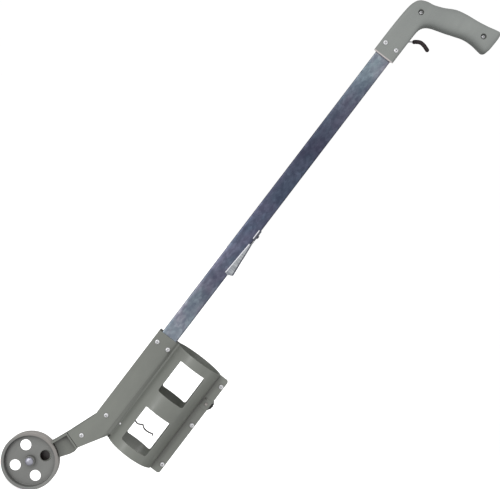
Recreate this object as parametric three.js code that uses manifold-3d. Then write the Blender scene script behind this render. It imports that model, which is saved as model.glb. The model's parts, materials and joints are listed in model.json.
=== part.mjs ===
// Aerosol line-marking wand: a pistol grip with a wire trigger, a square tube, a two-half cradle that
// holds an inverted paint can over a wire valve yoke, and a guide wheel on an angled arm.
// Millimetres, +Z up the tube, +X towards the can and the grip, -Y the side of the screw heads.
// Everything is drawn with X = 0 and Y = 0 on the tube's axis and Z = 0 at the body's upper edge;
// the exported group then moves the origin to the middle of the grip.
import * as THREE from "three";
import { mergeVertices } from "three/addons/utils/BufferGeometryUtils.js";
import Module from "manifold-3d";

const wasm = await Module();
wasm.setup();

// ---------------------------------------------------------------- driving dimensions
const GAP = 0.3; // between pieces that touch
const SPLIT = 0.15; // each half shell stops this far from the middle plane
const GRIP_CENTRE = new THREE.Vector3(64, 0, 616);

const tube = { half: 12.7, wall: 1.5, corner: 2, bottom: -112, top: 534 };
const bay = tube.half + 0.2; // half width of the space that a shell leaves for the tube

const body = { halfWidth: 17.5, halfDepth: 15, skin: 2.1, side: 2.4, ribLevels: [-34, -60, -86, -108] };
const arm = {
  bend: [-17.5, -155],
  endUpper: [-33.2, -198],
  endLower: [-8.2, -206],
  root: [17.5, -162.8],
};
const cradle = { x: 54, outer: 38.5, inner: 35.7, height: 168 };
const flange = { inner: 90, outer: 107.8, thickness: 3, corner: 4, screwX: 103.8, screwZ: [-13, -83, -154] };
const rimDrop = 3; // how much lower the far half of the cradle ends than the near half
const windowCorner = 3;
const nearWindows = { x: 54.9, half: 21.7, spans: [[-68.2, -14.5], [-154.2, -95.4]] };
const farWindows = { x: 56.2, half: 21.3, spans: [[-68.6, -14.5], [-155.4, -95.4]] };
const collarScrews = { x: 9.5, z: -15.4 };
const armScrews = [
  [-3.9, -144.1],
  [-14.7, -188.7],
];

const earHalf = flange.thickness + SPLIT; // half the thickness of the two flanges together

const clamp = { x: 101.6, z: -46.3, stud: 2.4, studEnd: 17, neck: 6.5, washer: 6.2 };
const clampPad = { half: 8, rise: 0.5, corner: 3 };
const clampHead = { radius: 11.3, lobes: 16, lobeDepth: 0.35, span: [13.2, 22] };

const wheel = { x: -52.1, z: -265.9, radius: 41.6, halfWidth: 9.5, rim: 4.6, holes: 4, holeRadius: 8.1 };
const wheelHoleCircle = 23.3;
const wheelHoleAngle = 54.5;
const hub = { radius: 7.5, bushingSeat: 5.5, web: 1.5 };
const axle = { radius: 4, dome: 6.2, domeRise: 3.4, tip: 19.4, nut: [14.4, 18.2], nutFlats: 13 };
const bracket = { halfDepth: 13.5, shankHalf: 12.4, floor: -6, cheek: [10.8, 14.2] };

const grip = { halfDepth: 17, wall: 3, mouth: 508, mouthSlope: 12.4, chamber: [0.03, 0.89] };
const socketScrews = { x: 9.5, z: 526 };
const gripScrews = [
  [4.8, 592],
  [97.4, 618.7],
];
const recess = { radius: 4, seat: -12.6, tip: 11, depth: 11.5, head: 2.9 };
const bossRadius = 5.6;

const clip = { inner: 13, sheet: 1, rivetZ: 192, rivetHole: 1.7, padTop: 202, waistTop: 185 };
const tongue = { top: 178.5, tip: 126, tipX: 19.7, frontTop: 10, frontTip: 7 };

const trigger = { x: 9.5, z: 546, pin: 1.2, pinHalf: 14.6, hub: 4.2, hubHalf: 4, wire: 1.25, sleeve: 3 };
const triggerSlot = { x: [10, 19], half: 2, rise: 10.5 };
const rod = { radius: 1.5, top: 542.6, jogTop: -112, jogBottom: -122, bottom: -134, footX: 5 };
const foot = { top: -133, bottom: -145.5, halfX: 3.8, halfY: 4, pinSlot: [1.6, 3.6], armSlot: 1.9 };
const guides = { upper: [512, 521], lower: [-104, -95] };
const spring = { bottom: 521.3, top: 538.2, radius: 3.1, wire: 0.5, turns: 6 };
const yoke = { x: 19.4, z: -141, pin: 1.2, hub: 3.2, halfWidth: 6.2 };
const strand = { wire: 0.8, y: 1.6, tipX: 67.2, tipZ: -129.4 };
const yokeArm = { halfY: 1.5, halfZ: 1.2, crossPin: 3.2, slotHalfY: 0.6, slotHalfZ: 10 };

const screwShank = 1.3;
const screwHole = 1.6;
const snug = 0.05; // clearance of a pin or a thread in its own hole

// ---------------------------------------------------------------- materials
function material(color, roughness, metalness) {
  return new THREE.MeshStandardMaterial({ color, roughness, metalness });
}
const bodyPlastic = () => material(0x7d807a, 0.55, 0);
const gripPlastic = () => material(0x8c918e, 0.5, 0);
const wheelPlastic = () => material(0x7b7c79, 0.6, 0);
const galvanised = () => material(0x6a7080, 0.45, 0.9);
const brightSteel = () => material(0xd8dade, 0.25, 1);
const darkSteel = () => material(0x4a4a48, 0.4, 0.9);
const dullSteel = () => material(0x8c827d, 0.5, 0.7);
const blackVinyl = () => material(0x141214, 0.35, 0);
const whiteNylon = () => material(0xd6d6cf, 0.5, 0);

// ---------------------------------------------------------------- solids
function toSolid(geometry) {
  const bare = geometry.index ? geometry.toNonIndexed() : geometry.clone();
  bare.deleteAttribute("normal");
  bare.deleteAttribute("uv");
  const merged = mergeVertices(bare, 1e-4);
  const mesh = { numProp: 3, vertProperties: merged.attributes.position.array };
  return new wasm.Manifold(new wasm.Mesh({ ...mesh, triVerts: new Uint32Array(merged.index.array) }));
}

function toGeometry(solid) {
  const { vertProperties, triVerts } = solid.getMesh();
  const geometry = new THREE.BufferGeometry();
  geometry.setAttribute("position", new THREE.BufferAttribute(vertProperties, 3));
  geometry.setIndex(new THREE.BufferAttribute(triVerts, 1));
  geometry.computeVertexNormals();
  return geometry;
}

function join(...solids) {
  return solids.reduce((whole, next) => whole.add(next));
}

function cut(solid, ...tools) {
  return tools.reduce((rest, tool) => rest.subtract(tool), solid);
}

function block([x0, x1], [y0, y1], [z0, z1]) {
  const box = new THREE.BoxGeometry(x1 - x0, y1 - y0, z1 - z0);
  return toSolid(box.translate((x0 + x1) / 2, (y0 + y1) / 2, (z0 + z1) / 2));
}

function pinY(x, z, radius, [y0, y1], sides = 20) {
  const pin = new THREE.CylinderGeometry(radius, radius, y1 - y0, sides);
  return toSolid(pin.translate(x, (y0 + y1) / 2, z));
}

function pinZ(x, y, radius, [z0, z1], sides = 20) {
  const pin = new THREE.CylinderGeometry(radius, radius, z1 - z0, sides);
  return toSolid(pin.rotateX(Math.PI / 2).translate(x, y, (z0 + z1) / 2));
}

function pinX(z, radius, [x0, x1], sides = 12) {
  const pin = new THREE.CylinderGeometry(radius, radius, x1 - x0, sides);
  return toSolid(pin.rotateZ(Math.PI / 2).translate((x0 + x1) / 2, 0, z));
}

function ringY(x, z, inner, outer, span, sides = 24) {
  return pinY(x, z, outer, span, sides).subtract(pinY(x, z, inner, [span[0] - 1, span[1] + 1], sides));
}

// A profile of [radius, y] points turned about the line through (x, z) along Y.
function turned(profile, x, z, sides) {
  const points = profile.map(([radius, y]) => new THREE.Vector2(radius, y));
  return toSolid(new THREE.LatheGeometry(points, sides).translate(x, 0, z));
}

function shapeOf(outline) {
  if (outline instanceof THREE.Shape) return outline;
  return new THREE.Shape(outline.map(([x, z]) => new THREE.Vector2(x, z)));
}

// An outline in the XZ plane, extruded from y0 to y1.
function prism(outline, [y0, y1], curveSegments = 4) {
  const settings = { depth: y1 - y0, bevelEnabled: false, curveSegments };
  const geometry = new THREE.ExtrudeGeometry(shapeOf(outline), settings);
  return toSolid(geometry.rotateX(Math.PI / 2).translate(0, y1, 0));
}

// An outline in the XY plane, extruded from z0 to z1.
function column(outline, [z0, z1]) {
  const geometry = new THREE.ExtrudeGeometry(shapeOf(outline), { depth: z1 - z0, bevelEnabled: false });
  return toSolid(geometry.translate(0, 0, z0));
}

function roundedRect([x0, x1], [z0, z1], radius) {
  const shape = new THREE.Shape();
  shape.absarc(x1 - radius, z1 - radius, radius, 0, Math.PI / 2);
  shape.absarc(x0 + radius, z1 - radius, radius, Math.PI / 2, Math.PI);
  shape.absarc(x0 + radius, z0 + radius, radius, Math.PI, 1.5 * Math.PI);
  shape.absarc(x1 - radius, z0 + radius, radius, 1.5 * Math.PI, 2 * Math.PI);
  return shape;
}

// The corners of a closed outline, each moved inwards so that every edge shifts by `distance`.
function insetOutline(outline, distance) {
  const area = THREE.ShapeUtils.area(outline.map(([x, y]) => ({ x, y })));
  const sign = Math.sign(area) * distance;
  const count = outline.length;
  return outline.map((corner, i) => {
    const before = new THREE.Vector2(...outline[(i + count - 1) % count]);
    const here = new THREE.Vector2(...corner);
    const after = new THREE.Vector2(...outline[(i + 1) % count]);
    const inward = here.clone().sub(before).normalize();
    const outward = after.clone().sub(here).normalize();
    const n1 = new THREE.Vector2(-inward.y, inward.x);
    const n2 = new THREE.Vector2(-outward.y, outward.x);
    const miter = n1.clone().add(n2);
    miter.multiplyScalar((2 * sign) / miter.lengthSq());
    return here.add(miter).toArray();
  });
}

// A round section carried along a smooth curve.
function swept(curve, radius, steps, sides = 8) {
  const section = new THREE.Shape().absarc(0, 0, radius, 0, 2 * Math.PI);
  const settings = { steps, extrudePath: curve, curveSegments: sides / 2, bevelEnabled: false };
  return toSolid(new THREE.ExtrudeGeometry(section, settings));
}

function smoothCurve(points) {
  return new THREE.CatmullRomCurve3(points.map((p) => new THREE.Vector3(...p)), false, "centripetal");
}

function nearHalf(solid) {
  return solid.subtract(block([-400, 400], [-SPLIT, 400], [-900, 900]));
}

function farHalf(solid) {
  return solid.subtract(block([-400, 400], [-400, SPLIT], [-900, 900]));
}

const wand = new THREE.Group();
wand.name = "line_marking_wand";
wand.position.copy(GRIP_CENTRE).negate();

function place(name, solid, surface) {
  const mesh = new THREE.Mesh(toGeometry(solid), surface);
  mesh.name = name;
  wand.add(mesh);
}

// ---------------------------------------------------------------- fasteners
// A pan-head screw whose head rests on y = seat and whose shank ends at y = tip.
function screw(x, z, seat, tip, head = 3.5) {
  const rise = head * 0.62;
  const dome = [
    [0, seat - rise],
    [head * 0.5, seat - rise * 0.9],
    [head * 0.87, seat - rise * 0.5],
    [head, seat],
  ];
  return turned([...dome, [screwShank, seat], [screwShank, tip - 0.6], [0, tip]], x, z, 16);
}

function hexNut(x, z, [y0, y1], acrossFlats, hole, sides = 16) {
  const nut = pinY(x, z, acrossFlats / Math.sqrt(3), [y0, y1], 6);
  return nut.subtract(pinY(x, z, hole, [y0 - 1, y1 + 1], sides));
}

function throughScrew(name, x, z, nearFace, farFace) {
  place(`${name}_screw`, screw(x, z, -nearFace - 0.05, farFace + 3.6), brightSteel());
  place(`${name}_nut`, hexNut(x, z, [farFace + 0.1, farFace + 2.5], 5.5, screwShank + 0.05), brightSteel());
}

// ---------------------------------------------------------------- tube
function squareTube() {
  const outer = roundedRect([-tube.half, tube.half], [-tube.half, tube.half], tube.corner);
  const hollow = tube.half - tube.wall;
  outer.holes.push(new THREE.Path(roundedRect([-hollow, hollow], [-hollow, hollow], 0.8).getPoints(2)));
  const settings = { depth: tube.top - tube.bottom, bevelEnabled: false, curveSegments: 3 };
  const pipe = toSolid(new THREE.ExtrudeGeometry(outer, settings).translate(0, 0, tube.bottom));
  const holes = [collarScrews, socketScrews].flatMap(({ x, z }) =>
    [-x, x].map((side) => pinY(side, z, screwHole, [-20, 20], 12)),
  );
  const rivetHole = pinX(clip.rivetZ, clip.rivetHole, [tube.half - 3, tube.half + 1]);
  return cut(pipe, ...holes, rivetHole);
}

// A pressed-steel clip that straddles the tube's rear face: a riveted pad, a thin waist that lets it
// spring, and a flared tongue with widening side flanges.
function beltClip() {
  const outer = clip.inner + clip.sheet;
  const side = [clip.inner, outer];
  const web = block([clip.inner, outer], [-outer, outer], [tongue.top - 0.5, clip.padTop]);
  const tongueWeb = [
    [clip.inner, tongue.top],
    [outer, tongue.top],
    [tongue.tipX, tongue.tip],
    [tongue.tipX - clip.sheet, tongue.tip],
  ];
  const padFlange = [
    [9.4, clip.padTop],
    [9.4, clip.waistTop],
    [outer, clip.waistTop],
    [outer, clip.padTop],
  ];
  const tongueFlange = [
    [tongue.frontTop, tongue.top - 1],
    [tongue.frontTip, tongue.tip - 3.6],
    [tongue.tipX - 5.7, tongue.tip - 2.4],
    [tongue.tipX, tongue.tip],
    [outer, tongue.top],
  ];
  const flanges = [padFlange, tongueFlange].flatMap((outline) => [
    prism(outline, side),
    prism(outline, [-outer, -clip.inner]),
  ]);
  const whole = join(web, prism(tongueWeb, [-outer, outer]), ...flanges);
  return whole.subtract(pinX(clip.rivetZ, clip.rivetHole, [clip.inner - 1, outer + 1]));
}

// A blind rivet through the clip's pad and the tube's wall, its domed head on the clip.
function clipRivet() {
  const seat = clip.inner + clip.sheet + 0.1;
  const inside = tube.half - tube.wall - 0.8;
  const profile = [
    [0, inside],
    [clip.rivetHole - 0.1, inside],
    [clip.rivetHole - 0.1, seat],
    [3.2, seat],
    [2.6, seat + 1],
    [0, seat + 1.6],
  ];
  const points = profile.map(([radius, x]) => new THREE.Vector2(radius, x));
  return toSolid(new THREE.LatheGeometry(points, 16).rotateZ(-Math.PI / 2).translate(0, 0, clip.rivetZ));
}

// ---------------------------------------------------------------- body shells
const channelOutline = [
  [-body.halfWidth, 0],
  arm.bend,
  arm.endUpper,
  arm.endLower,
  arm.root,
  [body.halfWidth, 0],
];

function tubeRibs() {
  const wallSide = body.halfWidth - body.side + 0.5;
  return body.ribLevels.flatMap((z) =>
    [
      [-wallSide, -bay],
      [bay, wallSide],
    ].map((span) => block(span, [-body.halfDepth + 1, body.halfDepth - 1], [z - 1, z + 1])),
  );
}

function bodyWindows({ x, half, spans }, depth) {
  return spans.map((span) => prism(roundedRect([x - half, x + half], span, windowCorner), depth, 3));
}

// The soft groove between the flat channel and the round cradle, on one side (-1 near, 1 far): what
// first fills the crevice, and what is then cut away.
const creviceFill = [
  [16, 13],
  [18.4, 12.2],
  [19.4, 14],
  [19.4, 15.95],
  [16, 15.95],
];
const grooveCut = [
  [9.5, 17],
  [9.5, 15],
  [11.5, 14.8],
  [13.5, 14.5],
  [15.3, 14.2],
  [17, 14.3],
  [18.4, 15.2],
  [19.03, 15.99],
  [18.9, 17],
];

function alongCradle(outline) {
  return [-1, 1].map((side) => column(outline.map(([x, y]) => [x, side * y]), [arm.root[1], 0.01]));
}

function bodyScrewHoles() {
  const collar = [-collarScrews.x, collarScrews.x].map((x) => [x, collarScrews.z]);
  const rim = flange.screwZ.map((z) => [flange.screwX, z]);
  return [...collar, ...armScrews, ...rim].map(([x, z]) => pinY(x, z, screwHole, [-40, 40], 12));
}

// Both halves of the body as one solid, before the split.
function bodyCore() {
  const { halfDepth, skin, side } = body;
  const channel = prism(channelOutline, [-halfDepth, halfDepth]);
  const barrelBottom = -cradle.height - rimDrop;
  const nearTrim = block([0, 120], [-60, 0], [barrelBottom - 1, -cradle.height]);
  const barrel = pinZ(cradle.x, 0, cradle.outer, [barrelBottom, 0], 64).subtract(nearTrim);
  const ears = roundedRect([flange.inner, flange.outer], [-cradle.height, 0], flange.corner);
  const earTrim = block([flange.inner - 9, flange.inner + 5], [-earHalf, earHalf], [-cradle.height, 0]);
  const earPlate = prism(ears, [-earHalf, earHalf], 3);
  const joined = join(channel, barrel, earPlate, earTrim, ...alongCradle(creviceFill));
  const outside = cut(joined, ...alongCradle(grooveCut));

  const hollow = prism(insetOutline(channelOutline, side), [-halfDepth + skin, halfDepth - skin]);
  const mouth = block([-bay, bay], [-bay, bay], [-side - 1, 1]);
  const canBore = pinZ(cradle.x, 0, cradle.inner, [barrelBottom - 1, 1], 64);
  const shankWay = bracket.shankHalf + GAP;
  const shank = prism(insetOutline(shankOutline, -GAP), [-shankWay, shankWay]);
  const hollowed = cut(outside, hollow, mouth, canBore, shank);
  const ribbed = join(hollowed, ...tubeRibs());

  const leverWay = yoke.halfWidth + yokeArm.slotHalfY;
  const leverSlot = block(
    [body.halfWidth - 3.2, cradle.x - 30],
    [-leverWay, leverWay],
    [yoke.z - yokeArm.slotHalfZ, yoke.z + yokeArm.slotHalfZ],
  );
  const pivotHole = pinY(yoke.x, yoke.z, yoke.pin + snug, [-40, 40]);
  const windows = [...bodyWindows(nearWindows, [-60, 0]), ...bodyWindows(farWindows, [0, 60])];
  return cut(ribbed, leverSlot, pivotHole, ...windows, ...bodyScrewHoles());
}

function bodyNear(core) {
  const padOutline = roundedRect(
    [flange.inner + 4.5, flange.outer - 0.8],
    [clamp.z - clampPad.half, clamp.z + clampPad.half],
    clampPad.corner,
  );
  const pad = prism(padOutline, [-earHalf - clampPad.rise, -earHalf + 0.5], 3);
  return nearHalf(core).add(pad).subtract(pinY(clamp.x, clamp.z, clamp.stud + 0.1, [-20, 20], 16));
}

function bodyFar(core) {
  return farHalf(core).subtract(pinY(clamp.x, clamp.z, clamp.stud + 0.4, [-20, 20], 16));
}

// ---------------------------------------------------------------- wheel, bracket and axle
// The part of the bracket that the two body halves clasp, clear of the push rod's foot.
const shankOutline = [
  [-14.6, -138],
  [-14.6, -155.6],
  [-31.5, -201.5],
  [-9.5, -208.5],
  [-0.5, -187],
  [0.9, -180],
  [0.9, -138],
];

// The bar starts a narrow gap beyond the shells' end, which leaves a shadow line round the joint.
const bracketOutline = [
  [-33.6, -199.3],
  [-43, -222.5],
  [-50, -240],
  [-30, -250],
  [-20.4, -234.5],
  [-11.5, -222],
  [-8.6, -215.5],
  [-8.4, -207.3],
];

const cheekOutline = [
  [-33.6, -199.3],
  [-43, -222.5],
  [-63.5, -262.5],
  [-63.3, -270.4],
  [-58.4, -276.1],
  [-52.1, -277.9],
  [-44, -277],
  [-39.4, -273.8],
  [-18.6, -235.5],
  [-11.5, -222],
  [-8.6, -215.5],
  [-8.4, -207.3],
];

const pocketOutline = [
  [-32.1, -202.2],
  [-46, -236.5],
  [-25, -248],
  [-1, -224],
  [-5, -210.9],
];

function wheelBracket() {
  const bar = prism(bracketOutline, [-bracket.halfDepth, bracket.cheek[1]]);
  const cheek = prism(cheekOutline, bracket.cheek);
  const shank = prism(shankOutline, [-bracket.shankHalf, bracket.shankHalf]);
  const wheelSpace = pinY(wheel.x, wheel.z, wheel.radius + 1.6, [-30, bracket.cheek[0]], 48);
  const pocket = prism(pocketOutline, [-30, bracket.floor]);
  const eye = pinY(wheel.x, wheel.z, axle.radius + snug, [-30, 30], 24);
  const screwHoles = armScrews.map(([x, z]) => pinY(x, z, screwHole, [-30, 30], 12));
  return cut(join(bar.subtract(wheelSpace), cheek, shank), pocket, eye, ...screwHoles);
}

function guideWheel() {
  const { radius, halfWidth, rim } = wheel;
  const nearSide = [
    [hub.bushingSeat, -halfWidth],
    [hub.radius, -halfWidth],
    [hub.radius + 0.5, -hub.web],
    [radius - rim - 0.8, -hub.web],
    [radius - rim, -halfWidth],
    [radius - 1.2, -halfWidth],
    [radius, -halfWidth + 1.2],
  ];
  const farSide = nearSide.map(([r, y]) => [r, -y]).reverse();
  const profile = [...nearSide, ...farSide, nearSide[0]];
  const disc = turned(profile, wheel.x, wheel.z, 48);
  const holes = Array.from({ length: wheel.holes }, (_, i) => {
    const angle = THREE.MathUtils.degToRad(wheelHoleAngle + (360 / wheel.holes) * i);
    const x = wheel.x + wheelHoleCircle * Math.cos(angle);
    const z = wheel.z + wheelHoleCircle * Math.sin(angle);
    return pinY(x, z, wheel.holeRadius, [-20, 20], 24);
  });
  return cut(disc, ...holes);
}

function wheelBushing() {
  const half = wheel.halfWidth - 0.1;
  return ringY(wheel.x, wheel.z, axle.radius + 0.06, hub.bushingSeat - snug, [-half, half], 28);
}

// A headed axle: its dome covers the hub on the near side, its end carries the nut.
function headedAxle() {
  const seat = -wheel.halfWidth - GAP;
  const chamfer = 0.8;
  const profile = [
    [0, seat - axle.domeRise],
    [2.6, seat - 3],
    [5.1, seat - 1.9],
    [axle.dome, seat - 0.6],
    [axle.dome, seat],
    [axle.radius, seat],
    [axle.radius, axle.tip - chamfer],
    [axle.radius - chamfer, axle.tip],
    [0, axle.tip],
  ];
  return turned(profile, wheel.x, wheel.z, 24);
}

// ---------------------------------------------------------------- clamp
function clampKnob() {
  const { lobes, lobeDepth, span } = clampHead;
  const steps = lobes * 6;
  const outline = Array.from({ length: steps }, (_, i) => {
    const angle = (2 * Math.PI * i) / steps;
    const radius = clampHead.radius - lobeDepth * (1 - Math.cos(lobes * angle));
    return [clamp.x + radius * Math.cos(angle), clamp.z + radius * Math.sin(angle)];
  });
  const head = prism(outline, span);
  const neck = pinY(clamp.x, clamp.z, clamp.neck, [4.6, span[0] + 1], 24);
  const bore = pinY(clamp.x, clamp.z, clamp.stud + snug, [0, clamp.studEnd + 2], 16);
  return join(head, neck).subtract(bore);
}

function clampStud() {
  const nearEnd = -earHalf - 2;
  const chamfer = 0.6;
  const profile = [
    [0, nearEnd],
    [1.6, nearEnd + 0.2],
    [clamp.stud, nearEnd + 1],
    [clamp.stud, clamp.studEnd - chamfer],
    [clamp.stud - chamfer, clamp.studEnd],
    [0, clamp.studEnd],
  ];
  return turned(profile, clamp.x, clamp.z, 16);
}

// ---------------------------------------------------------------- grip shells
// Matching stations from the socket's mouth to the butt: the point on the back edge, the point on the
// palm edge, how square the section between them is (the power of its superellipse), and its share
// of the full depth.
const gripStations = [
  { back: [-16.6, 498], palm: [16.6, 498], power: 10, depth: 1 },
  { back: [-16.6, 532], palm: [16.6, 532], power: 10, depth: 1 },
  { back: [-16.3, 558], palm: [16.8, 554], power: 8, depth: 1 },
  { back: [-15.4, 580], palm: [17, 566], power: 6, depth: 1 },
  { back: [-13.6, 595], palm: [17.8, 573.5], power: 5, depth: 1 },
  { back: [-8.5, 606], palm: [19.8, 578.8], power: 4.2, depth: 1 },
  { back: [1.5, 611.8], palm: [24, 583.4], power: 3.6, depth: 1 },
  { back: [13, 614.2], palm: [31, 587.2], power: 3.2, depth: 1 },
  { back: [27, 619.8], palm: [40.6, 590.2], power: 3, depth: 1 },
  { back: [43, 628.3], palm: [52, 593.7], power: 3, depth: 1 },
  { back: [60, 632.2], palm: [64, 598], power: 3, depth: 1 },
  { back: [78, 634.2], palm: [77, 602.3], power: 3, depth: 1 },
  { back: [94, 636.8], palm: [91, 603.6], power: 3.2, depth: 1 },
  { back: [106, 639.5], palm: [104, 602.4], power: 3.6, depth: 1 },
  { back: [112.5, 640.4], palm: [110.8, 602], power: 4, depth: 0.97 },
  { back: [115.8, 637.6], palm: [114.8, 604.8], power: 4, depth: 0.86 },
  { back: [116.8, 632], palm: [116.3, 611], power: 4, depth: 0.66 },
];

// The station at a share t of the way along the grip, on smooth curves through the stations.
function gripStation(t) {
  const edge = (side) => {
    const points = gripStations.map((station) => new THREE.Vector2(...station[side]));
    return new THREE.SplineCurve(points).getPoint(t);
  };
  const along = t * (gripStations.length - 1);
  const before = gripStations[Math.floor(along)];
  const after = gripStations[Math.ceil(along)];
  const between = (key) => THREE.MathUtils.lerp(before[key], after[key], along % 1);
  return { back: edge("back"), palm: edge("palm"), power: between("power"), depth: between("depth") };
}

// One section's points: a superellipse between its back and palm points, drawn in by `inset`.
function gripRing(t, inset, sides) {
  const { back, palm, power, depth } = gripStation(t);
  const centre = back.clone().add(palm).multiplyScalar(0.5);
  const half = back.clone().sub(centre);
  half.setLength(half.length() - inset);
  const bulge = (value) => Math.sign(value) * Math.abs(value) ** (2 / power);
  return Array.from({ length: sides }, (_, i) => {
    const angle = (2 * Math.PI * (i + 0.5)) / sides;
    const along = bulge(Math.cos(angle));
    const across = bulge(Math.sin(angle)) * (grip.halfDepth * depth - inset);
    return [centre.x + half.x * along, across, centre.y + half.y * along];
  });
}

// The rings from t0 to t1 skinned into one closed body.
function gripLoft([t0, t1], inset, rings, sides) {
  const points = [];
  for (let r = 0; r < rings; r += 1) {
    points.push(...gripRing(t0 + ((t1 - t0) * r) / (rings - 1), inset, sides));
  }
  const faces = [];
  for (let r = 0; r < rings - 1; r += 1) {
    for (let i = 0; i < sides; i += 1) {
      const a = r * sides + i;
      const b = r * sides + ((i + 1) % sides);
      faces.push(a, b + sides, b, a, a + sides, b + sides);
    }
  }
  const last = (rings - 1) * sides;
  for (let i = 1; i < sides - 1; i += 1) {
    faces.push(0, i, i + 1);
    faces.push(last, last + i + 1, last + i);
  }
  const geometry = new THREE.BufferGeometry();
  geometry.setAttribute("position", new THREE.BufferAttribute(new Float32Array(points.flat()), 3));
  geometry.setIndex(faces);
  return toSolid(geometry);
}

// Everything below the socket's mouth, which is cut on a slant that rises towards the far side.
function belowMouth() {
  const box = new THREE.BoxGeometry(120, 160, 60).translate(0, 0, -30);
  box.rotateX(THREE.MathUtils.degToRad(grip.mouthSlope));
  return toSolid(box.translate(0, -grip.halfDepth, grip.mouth));
}

// The space round the lever, the slot that its wire leaves by and the hole for its pin.
function triggerWay() {
  const { x, z, pinHalf, hubHalf } = trigger;
  const reliefHalf = hubHalf + 1.4;
  return [
    pinY(x, z, trigger.hub + 0.8, [-reliefHalf, reliefHalf]),
    block(triggerSlot.x, [-triggerSlot.half, triggerSlot.half], [z, z + triggerSlot.rise]),
    pinY(x, z, trigger.pin + snug, [-pinHalf - 0.2, pinHalf + 0.2], 16),
  ];
}

// Both halves of the grip as one solid, before the split: hollow round the lever, closed at the butt,
// with a square bay for the tube and a boss round each screw.
function gripCore() {
  const { halfDepth, wall, mouth, chamber } = grip;
  const outside = gripLoft([0, 1], 0, 41, 32).subtract(belowMouth());
  const belowTubeTop = block([-60, 60], [-60, 60], [mouth - 40, tube.top + 1]);
  const hollow = gripLoft(chamber, wall, 33, 24).subtract(belowTubeTop);
  const tubeBay = block([-bay, bay], [-bay, bay], [mouth - 20, tube.top + 2]);
  const socketHoles = [-socketScrews.x, socketScrews.x].map((x) =>
    pinY(x, socketScrews.z, screwHole, [-40, 40], 12),
  );
  const bosses = gripScrews.map(([x, z]) => pinY(x, z, bossRadius, [-halfDepth + 2, halfDepth - 2], 20));
  return cut(join(cut(outside, hollow, tubeBay), ...bosses), ...triggerWay(), ...socketHoles);
}

function gripNear(core) {
  const screwWays = gripScrews.flatMap(([x, z]) => [
    pinY(x, z, recess.radius, [-40, recess.seat], 20),
    pinY(x, z, screwHole, [-40, 40], 12),
  ]);
  return cut(nearHalf(core), ...screwWays);
}

function gripFar(core) {
  const pilots = gripScrews.map(([x, z]) => pinY(x, z, screwShank + snug, [-1, recess.depth], 16));
  return cut(farHalf(core), ...pilots);
}

// ---------------------------------------------------------------- trigger, rod and yoke
// The lever turns on the trigger pin: the wire enters it from the front, its pad pushes the rod down.
const wireStart = [
  [11.3, 0, 547.3],
  [18, 0, 552.2],
];
const fingerCurve = [
  [25, 0, 557.6],
  [30.6, 0, 560.6],
  [37.5, 0, 560.3],
];
const wireTip = [44.2, 0, 558.1];
const sleeveStart = [21, 0, 554.6];
const sleeveTip = [45.2, 0, 557.7];

function wireCurve() {
  return smoothCurve([...wireStart, ...fingerCurve, wireTip]);
}

function triggerLever() {
  const { x, z, hubHalf } = trigger;
  const boss = pinY(x, z, trigger.hub, [-hubHalf, hubHalf], 24);
  const pad = block([-2.6, x - 1], [-3, 3], [rod.top + 0.4, z + 1.2]);
  const bore = pinY(x, z, trigger.pin + snug, [-hubHalf - 1, hubHalf + 1], 16);
  return cut(join(boss, pad), bore, swept(wireCurve(), trigger.wire + snug, 16));
}

// The vinyl dip that covers the wire's finger curve and closes round its end.
function triggerSleeve() {
  const cover = swept(smoothCurve([sleeveStart, ...fingerCurve, sleeveTip]), trigger.sleeve, 10, 12);
  const dip = join(cover, ball(sleeveTip, trigger.sleeve));
  return cut(dip, swept(wireCurve(), trigger.wire + 0.15, 16), ball(wireTip, trigger.wire + 0.3));
}

function ball([x, y, z], radius) {
  return toSolid(new THREE.SphereGeometry(radius, 10, 6).translate(x, y, z));
}

// A straight rod down the tube that jogs sideways below it, to reach the yoke's tail.
function pushRod() {
  const { radius, top, jogTop, jogBottom, bottom, footX } = rod;
  const upperBend = [0, 0, jogTop];
  const lowerBend = [footX, 0, jogBottom];
  const upper = pinZ(0, 0, radius, [jogTop, top], 12);
  const lower = pinZ(footX, 0, radius, [bottom, jogBottom], 12);
  const bends = [new THREE.Vector3(...upperBend), new THREE.Vector3(...lowerBend)];
  const jog = swept(new THREE.LineCurve3(...bends), radius, 1);
  return join(upper, lower, jog, ball(upperBend, radius), ball(lowerBend, radius));
}

// The collar that the return spring pushes up against.
function rodCollar() {
  const ring = pinZ(0, 0, spring.radius + 0.2, [spring.top + GAP, rod.top - 0.9], 20);
  return ring.subtract(pinZ(0, 0, rod.radius + snug, [rod.jogTop, rod.top + 5], 12));
}

function rodGuide([z0, z1]) {
  const half = tube.half - tube.wall - GAP;
  const plug = block([-half, half], [-half, half], [z0, z1]);
  return plug.subtract(pinZ(0, 0, rod.radius + 0.3, [z0 - 1, z1 + 1], 16));
}

function returnSpring() {
  const { bottom, top, radius, wire, turns } = spring;
  class Helix extends THREE.Curve {
    getPoint(t, target = new THREE.Vector3()) {
      const angle = 2 * Math.PI * turns * t;
      const rise = THREE.MathUtils.lerp(bottom + wire, top - wire, t);
      return target.set(radius * Math.cos(angle), radius * Math.sin(angle), rise);
    }
  }
  return swept(new Helix(), wire, turns * 8, 6);
}

// The foot straddles the yoke's cross pin and pushes it down.
function rodFoot() {
  const { top, bottom, halfX, halfY } = foot;
  const [pinHalfX, pinHalfY] = foot.pinSlot;
  const x = rod.footX;
  const seat = yoke.z + 1.5;
  const below = bottom - 1;
  const solid = block([x - halfX, x + halfX], [-halfY, halfY], [bottom, top]);
  const pinSlot = block([x - pinHalfX, x + pinHalfX], [-pinHalfY, pinHalfY], [below, seat]);
  const armSlot = block([x - 2.4, x + halfX + 2], [-foot.armSlot, foot.armSlot], [below, seat + 1.1]);
  const rodHole = pinZ(x, 0, rod.radius + snug, [rod.bottom - snug, top + 1], 12);
  return cut(solid, pinSlot, armSlot, rodHole);
}

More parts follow.
